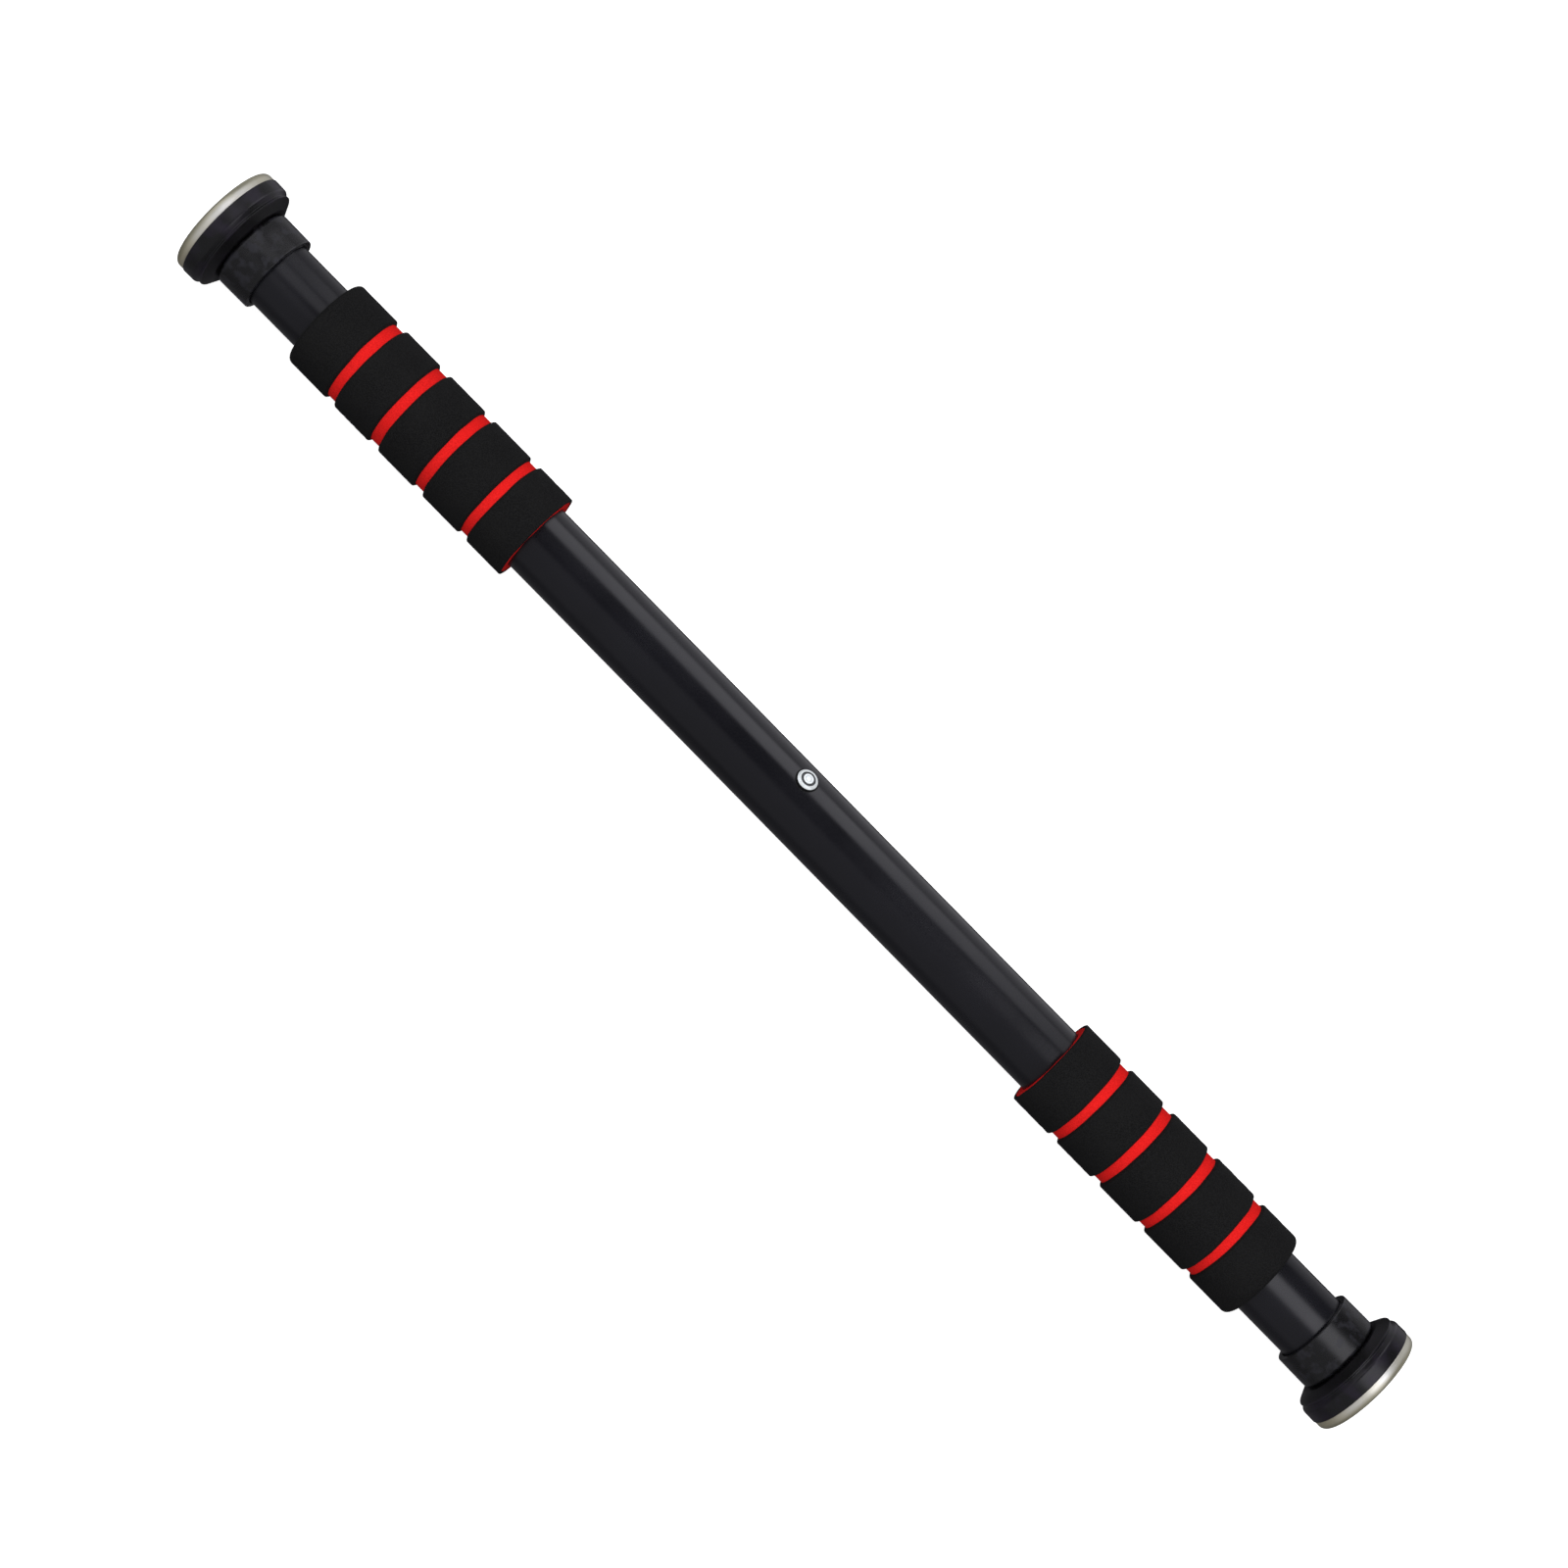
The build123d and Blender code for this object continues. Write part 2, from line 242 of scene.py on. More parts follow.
class Finish:
    """The nodes of one material, or of the world if that is given as the owner."""

    def __init__(self, name, owner=None, space="Object"):
        self.owner = owner or bpy.data.materials.new(name)
        self.owner.use_nodes = True
        self.tree = self.owner.node_tree
        self.tree.nodes.clear()
        self.place = self.node("ShaderNodeTexCoord", output=space)

    def node(self, kind, settings=None, inputs=None, output=0):
        """Adds a node: first its settings, then the values or links of its sockets."""
        made = self.tree.nodes.new(kind)
        for key, value in (settings or {}).items():
            setattr(made, key, value)
        for key, value in (inputs or {}).items():
            if isinstance(value, Flow):
                self.tree.links.new(value.socket, made.inputs[key])
            else:
                made.inputs[key].default_value = value
        return Flow(self, made.outputs[output]) if made.outputs else None

    def noise(self, grain_mm, detail=2.0, rough=0.5, at=None):
        """Cloudy pattern from 0 to 1 with patches about grain_mm across."""
        inputs = {
            "Vector": at or self.place,
            "Scale": 1 / (grain_mm * MM),
            "Detail": detail,
            "Roughness": rough,
        }
        return self.node("ShaderNodeTexNoise", {}, inputs)

    def cells(self, size_mm):
        """Distance from the middle of the nearest of many cells, about size_mm across."""
        inputs = {"Vector": self.place, "Scale": 1 / (size_mm * MM)}
        return self.node("ShaderNodeTexVoronoi", {"feature": "F1"}, inputs)

    def ramp(self, value, low, high, out_low=0.0, out_high=1.0, kind="SMOOTHSTEP"):
        """Step of a value from out_low at low to out_high at high, smooth unless told otherwise."""
        inputs = {
            "Value": value,
            "From Min": low,
            "From Max": high,
            "To Min": out_low,
            "To Max": out_high,
        }
        return self.node("ShaderNodeMapRange", {"interpolation_type": kind}, inputs)

    def between(self, value, low, high, edge):
        """1 where a value is from low to high and 0 outside, going smoothly over each edge."""
        rise = self.ramp(value, low - edge, low + edge)
        fall = self.ramp(value, high - edge, high + edge, 1.0, 0.0)
        return rise * fall

    def blend(self, share, first, second):
        """Colour between two colours."""
        inputs = {0: share, 6: first, 7: second}
        return self.node("ShaderNodeMix", {"data_type": "RGBA"}, inputs, output=2)

    def parts(self):
        """The X, Y and Z of the place, each on its own."""
        split = self.node("ShaderNodeSeparateXYZ", {}, {0: self.place})
        return [Flow(self, socket) for socket in split.socket.node.outputs]

    def radius(self):
        """Distance from the bar's axis, in metres."""
        y, z = self.parts()[1:]
        return (y * y + z * z) ** 0.5

    def bump(self, height, depth_mm, strength=1.0, under=None):
        """Relief depth_mm deep where the height goes from 0 to 1."""
        inputs = {"Strength": strength, "Distance": depth_mm * MM, "Height": height}
        if under:
            inputs["Normal"] = under
        return self.node("ShaderNodeBump", {}, inputs)

    def surface(self, **inputs):
        """Ends the finish with its surface shader, and gives the material."""
        named = {key.replace("_", " "): value for key, value in inputs.items()}
        shader = self.node("ShaderNodeBsdfPrincipled", {}, named)
        self.node("ShaderNodeOutputMaterial", {}, {0: shader})
        return self.owner


def grey(value, blue=1.0):
    """A neutral colour, bluer where blue is above 1."""
    return (value, value, value * blue, 1)


def round_the_rivet(f):
    """Distance from the rivet's own axis, and height along that axis above its seat, in metres.

    The distance is the length of what is left of a point along the bar and across the leaning axis.
    """
    x, y, z = f.parts()
    sine = math.sin(RIVET_TILT)
    cosine = math.cos(RIVET_TILT)
    along = x - RIVET_PLACE * MM
    across = y * cosine - z * sine
    reach = (along * along + across * across) ** 0.5
    height = y * sine + z * cosine - TUBE_RADIUS * MM
    return reach, height


def black_tube_paint():
    """Semi-gloss powder coat: faint orange peel, finer grain in it, a few nibs, gloss that drifts
    slowly, and a dull dark ring of painted shade where the rivet's head sits."""
    f = Finish("black_tube_paint")
    drift = f.noise(34, 3)
    peel = f.noise(2.6, 2)
    grain = f.noise(0.5, 3)
    nibs = f.ramp(f.cells(5.5), 0.05, 0.02)
    colour = f.blend(drift, grey(0.0042, 1.35), grey(0.0060, 1.45))
    reach, height = round_the_rivet(f)
    # painted shade: a dark, dull ring on the paint round the rivet's head, standing in for the shadow of
    # its gap
    painted_shade = f.ramp(reach, 5.5 * MM, 5.15 * MM) * f.ramp(height, -2.0 * MM, -1.5 * MM)
    colour = f.blend(painted_shade, colour, grey(0.0008))
    relief = f.bump(peel, 0.010, under=f.bump(grain + nibs * 1.5, 0.0022))
    gloss = f.ramp(drift, 0.3, 0.7, 0.21, 0.27) + (grain - 0.5) * 0.05 + painted_shade * 0.6
    return f.surface(Base_Color=colour, Roughness=gloss, Normal=relief)


def moulded_black():
    """Glossy moulding of the collars: sink marks, and paler patches a few millimetres across."""
    f = Finish("moulded_black")
    sinks = f.noise(8.5, 1)
    patches = f.ramp(f.noise(4.2, 2), 0.46, 0.66)
    grain = f.noise(0.35, 2)
    colour = f.blend(patches, grey(0.0050, 1.12), grey(0.0135, 1.30))
    relief = f.bump(sinks, 0.14, under=f.bump(grain, 0.0025))
    gloss = f.ramp(patches, 0, 1, 0.27, 0.36) + (grain - 0.5) * 0.05
    return f.surface(Base_Color=colour, Roughness=gloss, Normal=relief)


def cup_black():
    """Moulded cup: blue and violet drift in the black, shallow waves round it, and a duller cone painted
    darker as shade.
    """
    f = Finish("cup_black")
    drift = f.noise(9, 2)
    waves = f.noise(6, 1)
    grain = f.noise(0.3, 2)
    colour = f.blend(f.ramp(drift, 0.38, 0.66), grey(0.0056, 1.1), (0.0108, 0.0086, 0.0150, 1))
    # painted shade: inside a radius of 24.5 mm the cone at the back is darker in colour, as well as
    # duller
    cone = f.ramp(f.radius(), 24.5 * MM, 25.2 * MM, 0.75, 0.0)
    colour = f.blend(cone, colour, grey(0.0012))
    relief = f.bump(waves, 0.07, under=f.bump(grain, 0.002))
    gloss = f.ramp(drift, 0.3, 0.7, 0.26, 0.33) + cone * 0.15
    return f.surface(Base_Color=colour, Roughness=gloss, Normal=relief, Specular_IOR_Level=0.42)


def black_sponge():
    """Outside of fine closed-cell foam: tiny cells, soft lumps, and no gloss."""
    f = Finish("black_sponge")
    cells = f.cells(0.55)
    lumps = f.noise(2.4, 3)
    drift = f.noise(16, 2)
    pores = f.ramp(cells, 0.15, 0.75)
    colour = f.blend(pores, grey(0.0038, 1.05), grey(0.0092, 1.04))
    colour = f.blend(f.ramp(drift, 0.35, 0.65, 0.0, 0.35), colour, grey(0.0100, 1.0))
    relief = f.bump(lumps, 0.14, under=f.bump(cells, 0.10, strength=0.8))
    rough = 0.86 + (lumps - 0.5) * 0.12
    return f.surface(Base_Color=colour, Roughness=rough, Normal=relief, Specular_IOR_Level=0.16)


def red_sponge():
    """Cut face of the red foam: open cells, and thin places that look deeper in colour."""
    f = Finish("red_sponge")
    cells = f.cells(0.5)
    lumps = f.noise(1.8, 3)
    drift = f.noise(9, 2)
    pores = f.ramp(cells, 0.1, 0.8)
    colour = f.blend(pores, (0.62, 0.008, 0.008, 1), (0.88, 0.016, 0.015, 1))
    colour = f.blend(f.ramp(drift, 0.3, 0.7, 0.0, 0.4), colour, (0.82, 0.011, 0.010, 1))
    relief = f.bump(lumps, 0.10, under=f.bump(cells, 0.08, strength=0.7))
    rough = 0.80 + (lumps - 0.5) * 0.15
    return f.surface(Base_Color=colour, Roughness=rough, Normal=relief, Specular_IOR_Level=0.12)


def satin_plate():
    """Satin nickel, turned: hair lines run round the axis, the gloss breaks into streaks, and it
    yellows in places. Painted shade makes its sides across the bar and its rolled outer edge
    darker and yellower."""
    f = Finish("satin_plate")
    x, y, z = f.parts()
    depth = (y * y + z * z) ** 0.5
    rings = f.node("ShaderNodeCombineXYZ", {}, {0: x, 1: depth, 2: (y + z) * 0.004})
    lines = f.noise(0.16, 3, 0.6, at=rings)
    streaks = f.noise(1.1, 2, 0.5, at=rings)
    drift = f.noise(13, 2)
    tint_and_shade = f.blend(f.ramp(drift, 0.35, 0.68), (0.88, 0.875, 0.85, 1), (0.84, 0.81, 0.70, 1))
    # painted shade: the plate's sides towards -Y and +Y are darker and yellower
    tint_and_shade = f.blend(f.ramp(y, -4 * MM, -24 * MM, 0.0, 0.85), tint_and_shade, (0.55, 0.49, 0.31, 1))
    tint_and_shade = f.blend(f.ramp(y, 6 * MM, 24 * MM, 0.0, 0.6), tint_and_shade, (0.58, 0.55, 0.40, 1))
    # painted shade: the rolled outer edge is darker and olive
    outwards = f.ramp(x * x, (335.9 * MM) ** 2, (338.2 * MM) ** 2, 0.0, 0.9)
    rolled = outwards * f.ramp(depth, 22.5 * MM, 24.3 * MM)
    tint_and_shade = f.blend(rolled, tint_and_shade, (0.33, 0.31, 0.20, 1))
    colour = f.blend(f.ramp(streaks, 0.35, 0.7, 0.0, 0.35), tint_and_shade, (0.64, 0.62, 0.54, 1))
    relief = f.bump(lines, 0.006, under=f.bump(f.noise(5, 1), 0.03))
    gloss = 0.34 + (lines - 0.5) * 0.16 + (streaks - 0.5) * 0.10
    return f.surface(Base_Color=colour, Roughness=gloss, Metallic=0.62, Normal=relief)


def bright_zinc():
    """Rivet's bright plating: faint forging dents, a trace of blue, and painted shade in the sunk ring
    and under the rim."""
    f = Finish("bright_zinc")
    reach, height = round_the_rivet(f)
    dents = f.noise(1.3, 2)
    grain = f.noise(0.2, 2)
    metal = f.blend(dents, (0.86, 0.94, 0.98, 1), (0.97, 0.99, 1.0, 1))
    ring_inside = f.ramp(reach, 2.1 * MM, 2.4 * MM)
    ring_outside = f.ramp(reach, 3.6 * MM, 3.2 * MM)
    sunk = f.ramp(height, 1.5 * MM, 1.15 * MM)
    under_rim = f.ramp(height, 0.62 * MM, 0.4 * MM)
    # painted shade: the sunk ring of the head and everything under its rim are painted nearly black
    painted_shade = ring_inside * ring_outside * sunk * 0.95 + under_rim * 0.97
    colour = f.blend(painted_shade, metal, (0.012, 0.013, 0.016, 1))
    relief = f.bump(dents, 0.03, under=f.bump(grain, 0.002))
    gloss = 0.26 + (grain - 0.5) * 0.14
    return f.surface(Base_Color=colour, Roughness=gloss, Metallic=0.3, Normal=relief)


def plated_steel():
    """Dull zinc plate: spangled patches and fine drawn scratches."""
    f = Finish("plated_steel")
    patches = f.noise(4, 2)
    scratches = f.noise(0.25, 3)
    colour = f.blend(f.ramp(patches, 0.35, 0.65), (0.50, 0.50, 0.49, 1), (0.62, 0.62, 0.60, 1))
    relief = f.bump(scratches, 0.004)
    gloss = f.ramp(patches, 0.3, 0.7, 0.30, 0.42) + (scratches - 0.5) * 0.08
    return f.surface(Base_Color=colour, Roughness=gloss, Metallic=1.0, Normal=relief)


def oiled_thread():
    """Rolled thread: bright worn crests, darker oily roots, and rolling lines."""
    f = Finish("oiled_thread")
    crest = f.ramp(f.radius(), 11.4 * MM, 12.45 * MM)
    patches = f.noise(7, 3)
    lines = f.noise(0.3, 3)
    bright = f.blend(patches, (0.56, 0.56, 0.55, 1), (0.68, 0.68, 0.66, 1))
    colour = f.blend(crest, (0.20, 0.19, 0.17, 1), bright)
    gloss = f.ramp(crest, 0, 1, 0.22, 0.33) + (lines - 0.5) * 0.1
    return f.surface(Base_Color=colour, Roughness=gloss, Metallic=1.0, Normal=f.bump(lines, 0.006))


def nylon():
    """Natural nylon: milky, with faint flow marks."""
    f = Finish("nylon")
    flow = f.noise(5, 3)
    grain = f.noise(0.3, 2)
    colour = f.blend(flow, (0.66, 0.64, 0.57, 1), (0.78, 0.77, 0.71, 1))
    gloss = f.ramp(flow, 0.3, 0.7, 0.42, 0.52)
    return f.surface(Base_Color=colour, Roughness=gloss, Normal=f.bump(grain, 0.008))


def pad_rubber():
    """Matt rubber: fine stipple, and a greyer bloom in patches."""
    f = Finish("pad_rubber")
    stipple = f.cells(0.42)
    bloom = f.noise(6, 3)
    colour = f.blend(f.ramp(bloom, 0.35, 0.7), grey(0.016, 1.02), grey(0.030, 1.0))
    relief = f.bump(stipple, 0.05, under=f.bump(f.noise(1.5, 2), 0.03))
    rough = 0.68 + (bloom - 0.5) * 0.16
    return f.surface(Base_Color=colour, Roughness=rough, Normal=relief, Specular_IOR_Level=0.35)


paint = black_tube_paint()
collar_plastic = moulded_black()
cup_plastic = cup_black()
black_foam = black_sponge()
red_foam = red_sponge()
plate_metal = satin_plate()
rivet_metal = bright_zinc()
steel = plated_steel()
thread_steel = oiled_thread()
guide_nylon = nylon()
rubber = pad_rubber()


# ---------------------------------------------------------------- the middle


def make_tube():
    """Plain open tube with squared ends."""
    half, radius = extent("main_tube")[1:]
    bore = radius - TUBE_WALL
    corners = [(-half, bore, 0.15), (-half, radius, 0.25), (half, radius, 0.25), (half, bore, 0.15)]
    outline = rounded(corners, arc_steps=4, run_steps=40)
    piece("tube", turned(outline), "bar", paint, ["main_tube"])


def leaned(points):
    """Turns a piece made along X so that its axis points out of the tube where the rivet is.

    Its own X becomes the leaning axis (0, sine, cosine of the lean), its Y stays along the bar, and
    the whole moves out to the tube's surface.
    """
    sine = math.sin(RIVET_TILT)
    cosine = math.cos(RIVET_TILT)
    axes = np.array([(0, sine, cosine), (1, 0, 0), (0, cosine, -sine)])
    seat = np.array((RIVET_PLACE, TUBE_RADIUS * sine, TUBE_RADIUS * cosine))
    return points @ axes + seat


def make_rivet():
    """Blind rivet: domed head with a sunk ring, and the broken stub of its pin standing in it."""
    head = rounded(
        [
            (-6.0, 1.35, 0.05),
            (-6.0, 3.2, 0.3),
            (-3.6, 3.2, 0.3),
            (-2.95, 2.4, 0.1),
            (0.02, 2.4, 0.05),
            (0.02, 4.38, 0.08),
            (0.45, 4.75, 0.12),
            (1.08, 4.15, 0.7),
            (1.32, 3.40, 0.25),
            (0.92, 3.02, 0.10),
            (0.92, 2.52, 0.10),
            (1.60, 2.20, 0.18),
            (1.65, 1.62, 0.12),
            (1.30, 1.35, 0.08),
        ],
        arc_steps=6,
        run_steps=4,
    )
    grid = turned(head, steps=96)
    piece("rivet_head", leaned(grid), "bar", rivet_metal, ["rivet_body"])
    stub = rounded(
        [
            (-8.0, 0.0, 0.0),
            (-8.0, 1.25, 0.2),
            (-7.0, 2.3, 0.2),
            (-6.05, 2.3, 0.1),
            (-6.05, 1.30, 0.05),
            (1.25, 1.30, 0.12),
            (1.50, 1.02, 0.20),
            (1.58, 0.0, 0.0),
        ],
        arc_steps=5,
        run_steps=4,
        looped=False,
    )
    steps = 64
    near_tip = np.clip(stub[:, :1] - 1.0, 0, 1) * np.clip(stub[:, 1:], 0, 1)
    torn = 0.06 * np.cos(3 * ring_angles(steps) + 0.8) * near_tip
    grid = turned(stub, steps=steps, along=torn)
    piece("rivet_pin", leaned(grid), "bar", rivet_metal, ["rivet_mandrel"], looped=False)


# ---------------------------------------------------------------- the grips

GRIP_RADIUS = 21.65
CORE_RADIUS = 20.05
CORE_BORE = 16.1
# how far a cut's two edges slope along the bar, from its red floor to the outside
GROOVE_FLARE = 1.0
# each cut groove: its middle, its floor's width, and how far its inner and outer edges lean
CUTS = {
    "left": (
        (175.2, 4.0, -0.001, 0.010),
        (201.9, 4.5, 0.017, 0.019),
        (228.2, 4.8, 0.018, 0.024),
        (253.8, 4.5, 0.019, 0.031),
    ),
    "right": (
        (174.5, 4.2, -0.014, 0.012),
        (199.6, 4.5, -0.014, 0.008),
        (225.9, 4.4, -0.021, 0.006),
        (253.1, 3.9, -0.021, 0.006),
    ),
}
# radius of the outer corner, and how far the inner and outer end lean
GRIP_ENDS = {"left": (2.2, 0.012, 0.022), "right": (2.6, -0.009, -0.018)}
CORE_SEEDS = {"left": 100, "right": 300}
BAND_SEEDS = {"left": 120, "right": 320}


def leaning(outline, steps, first_lean, last_lean, across):
    """A cut that isn't square: the place grows by the lean times Y, going from one lean to the other."""
    lean = first_lean * (1 - across) + last_lean * across
    return lean * outline[:, 1:] * np.cos(ring_angles(steps))


def foam_relief(outline, steps, seed, size):
    """Slow lumps of foam, on the outside only: the sum, for three lengths, of a cosine along the grip
    times a wave round it."""
    chance = np.random.default_rng(seed)
    total = 0.0
    for length in (9.0, 5.3, 3.1):
        along = np.cos(ROUND * outline[:, :1] / length + chance.uniform(0, ROUND))
        total = total + along * waver(steps, int(chance.integers(1, 9999)), size)
    outside = np.clip(outline[:, 1:] - (CORE_RADIUS - 1.05), 0, 1)
    return total * outside


def make_core(end, side, seed):
    """Red foam sleeve. Its inner end face shows, a little ragged and just inside the band's end."""
    start, finish, radius = extent(f"{end}_grip_core")
    first_lean = GRIP_ENDS[end][1]
    sunk = 0.14
    steps = 192
    corners = [
        (start, CORE_BORE, 0.25),
        (finish, CORE_BORE, 0.1),
        (finish, radius, 0.1),
        (start, radius, 0.3),
    ]
    outline = rounded(corners, arc_steps=5, run_steps=90)
    near_start = np.clip(1 - (outline[:, :1] - start) / 3, 0, 1)
    ragged = (sunk + np.abs(waver(steps, seed, 0.08))) * near_start
    ragged = ragged + leaning(outline, steps, first_lean, 0.0, 1 - near_start)
    lumps = np.minimum(foam_relief(outline, steps, seed + 1, 0.012), 0.03)
    grid = turned(outline, side, steps, along=ragged, outwards=lumps)
    core = piece(f"{end}_foam_core", grid, "bar", red_foam, [f"{end}_grip_core"])


def make_bands(end, side, seed):
    """Five black foam bands, each with its own cut edges. The last one wraps over the outer end."""
    start, finish, radius = extent(f"{end}_grip_bands")
    corner, first_lean, last_lean = GRIP_ENDS[end]
    bore = CORE_RADIUS + FIT
    skin = GRIP_RADIUS - CORE_RADIUS
    steps = 256
    starts = [(start, first_lean)] + [(middle + floor / 2, lean) for middle, floor, _, lean in CUTS[end]]
    ends = [(middle - floor / 2, lean) for middle, floor, lean, _ in CUTS[end]] + [(finish, last_lean)]
    for number, ((first, lean_here), (last, lean_there)) in enumerate(zip(starts, ends)):
        inner_flare = 0.15 if number == 0 else GROOVE_FLARE
        inner_round = 0.45 if number == 0 else 0.75
        corners = [(first, bore, 0.1), (first + inner_flare, radius, inner_round)]
        if number < 4:
            corners += [(last - GROOVE_FLARE, radius, 0.75), (last, bore, 0.1)]
        else:
            corners += [(last, radius, corner), (last, CORE_BORE, 0.35)]
            corners += [(last - skin, CORE_BORE, 0.05), (last - skin, bore, 0.05)]
        outline = rounded(corners, arc_steps=9, run_steps=24)
        across = np.clip((outline[:, :1] - first) / (last - first), 0, 1)
        wave_first = waver(steps, seed + 10 * number, 0.07)
        wave_last = waver(steps, seed + 10 * number + 5, 0.07)
        if number == 0:
            wave_first = np.abs(wave_first)
        if number == 4:
            wave_last = 0.0
        cut = wave_first * (1 - across) ** 2 + wave_last * across**2
        cut = cut + leaning(outline, steps, lean_here, lean_there, across)
        lumps = np.minimum(foam_relief(outline, steps, seed + number, 0.016), 0.05)
        grid = turned(outline, side, steps, along=cut, outwards=lumps)
        name = f"{end}_foam_band_{number + 1}"
        band = piece(name, grid, "bar", black_foam, [f"{end}_grip_bands"], crease=50)


# ---------------------------------------------------------------- the ends


def make_collar(end, side):
    """Moulded cap over the tube's end, open at its outer end for the screw. It is a little oval."""
    lip, front, radius = extent(f"{end}_end_collar")
    seat = extent("main_tube")[1] + 0.1
    bore = TUBE_RADIUS + FIT
    opening = 13.1
    outline = rounded(
        [
            (lip, bore + 0.3, 0.35),
            (lip + 1.4, bore, 0.2),
            (seat, bore, 0.1),
            (seat, opening, 0.1),
            (front, opening, 0.4),
            (front, radius, 1.6),
            (front - 5.0, radius, 3.0),
            (lip, radius - 0.12, 0.5),
        ],
        run_steps=10,
    )
    steps = 192
    outside = np.clip((outline[:, 1:] - 18) / 0.8, 0, 1)
    sag = -0.05 * outside * (1 + np.cos(2 * ring_angles(steps) + 0.6)) / 2
    grid = turned(outline, side, steps, outwards=sag)
    name = f"{end}_collar"
    piece(name, grid, "bar", collar_plastic, [f"{end}_end_collar"])


# length of the step in the cup's front that the plate's skirt laps over
PLATE_LAP = 2.1


def make_cup(end, side):
    """Moulded cup: blunt cone at the back, a bead with a shallow valley behind it, a sloping shoulder
    and a straight wall up to the plate."""
    node = f"{end}_foot_cup"
    back, front, radius = extent(node)
    wall_end = front - PLATE_LAP
    floor = wall_end - 4.0
    inside = 22.0
    lap_radius = 24.6
    bore = 12.58
    outline = rounded(
        [
            (back, bore, 0.2),
            (back, 20.2, 0.9),
            (back + 2.5, 24.9, 0.3),
            (back + 2.8, 25.45, 0.2),
            (back + 3.2, 25.45, 0.2),
            (back + 3.6, 25.0, 0.25),
            (back + 4.1, 25.0, 0.3),
            (back + 5.6, 26.62, 1.5),
            (wall_end, radius, 0.35),
            (wall_end, lap_radius, 0.1),
            (front, lap_radius, 0.3),
            (front, inside, 0.1),
            (floor, inside, 0.1),
            (floor, bore, 0.1),
        ],
        arc_steps=9,
        run_steps=5,
    )
    grid = turned(outline, side, 224)
    piece(f"{end}_cup", grid, f"{end}_foot", cup_plastic, [node])


def make_plate(end, side):
    """Pressed dish: rolled rim, flat face ring, recess for the rubber disc and a well for the bolt."""
    node = f"{end}_foot_plate"
    face, radius = extent(node)[1:]
    rim_back = extent(f"{end}_foot_cup")[1] - PLATE_LAP + FIT
    sheet = 1.5
    recess = 20.3
    well = 9.0
    bolt_hole = 4.2
    recess_floor = face - 1.4
    well_floor = face - 3.9
    well_back = well_floor - 1.45
    outline = rounded(
        [
            (rim_back, radius, 0.2),
            (face, radius, 2.2),
            (face, recess, 0.3),
            (recess_floor, recess, 0.1),
            (recess_floor, well, 0.5),
            (well_floor, well, 0.2),
            (well_floor, bolt_hole, 0.1),
            (well_back, bolt_hole, 0.1),
            (well_back, well + sheet, 0.5),
            (recess_floor - sheet, well + sheet, 0.1),
            (recess_floor - sheet, recess + sheet, 0.05),
            (face - sheet, recess + sheet, 0.05),
            (face - sheet, radius - sheet, 0.7),
            (rim_back, radius - sheet, 0.2),
        ],
        arc_steps=9,
        run_steps=5,
    )
    grid = turned(outline, side, 224)
    piece(f"{end}_plate", grid, f"{end}_foot", plate_metal, [node])


def make_pad(end, side):
    """Rubber disc with three round grooves, their edges rounded as moulded."""
    node = f"{end}_friction_pad"
    back, face, radius = extent(node)
    bed = face - 0.8
    corners = [(back, 0.0, 0.0), (back, radius, 0.2), (face, radius, 0.35)]
    for outer in (16.0, 11.5, 7.0):
        inner = outer - 1.5
        corners += [(face, outer, 0.2), (bed, outer - 0.1, 0.2)]
        corners += [(bed, inner + 0.1, 0.2), (face, inner, 0.2)]
    corners += [(face, 0.0, 0.0)]
    outline = rounded(corners, arc_steps=5, run_steps=8, looped=False)
    grid = turned(outline, side, 160)
    piece(f"{end}_rubber_pad", grid, f"{end}_foot", rubber, [node], looped=False)


# the screw's thread: its pitch, the radius at its crests, and the depths of its roots and of the
# cone that it starts on
PITCH = 5.0
CREST = 12.5
THREAD_DEPTH = 1.15
CONE_DEPTH = 1.2


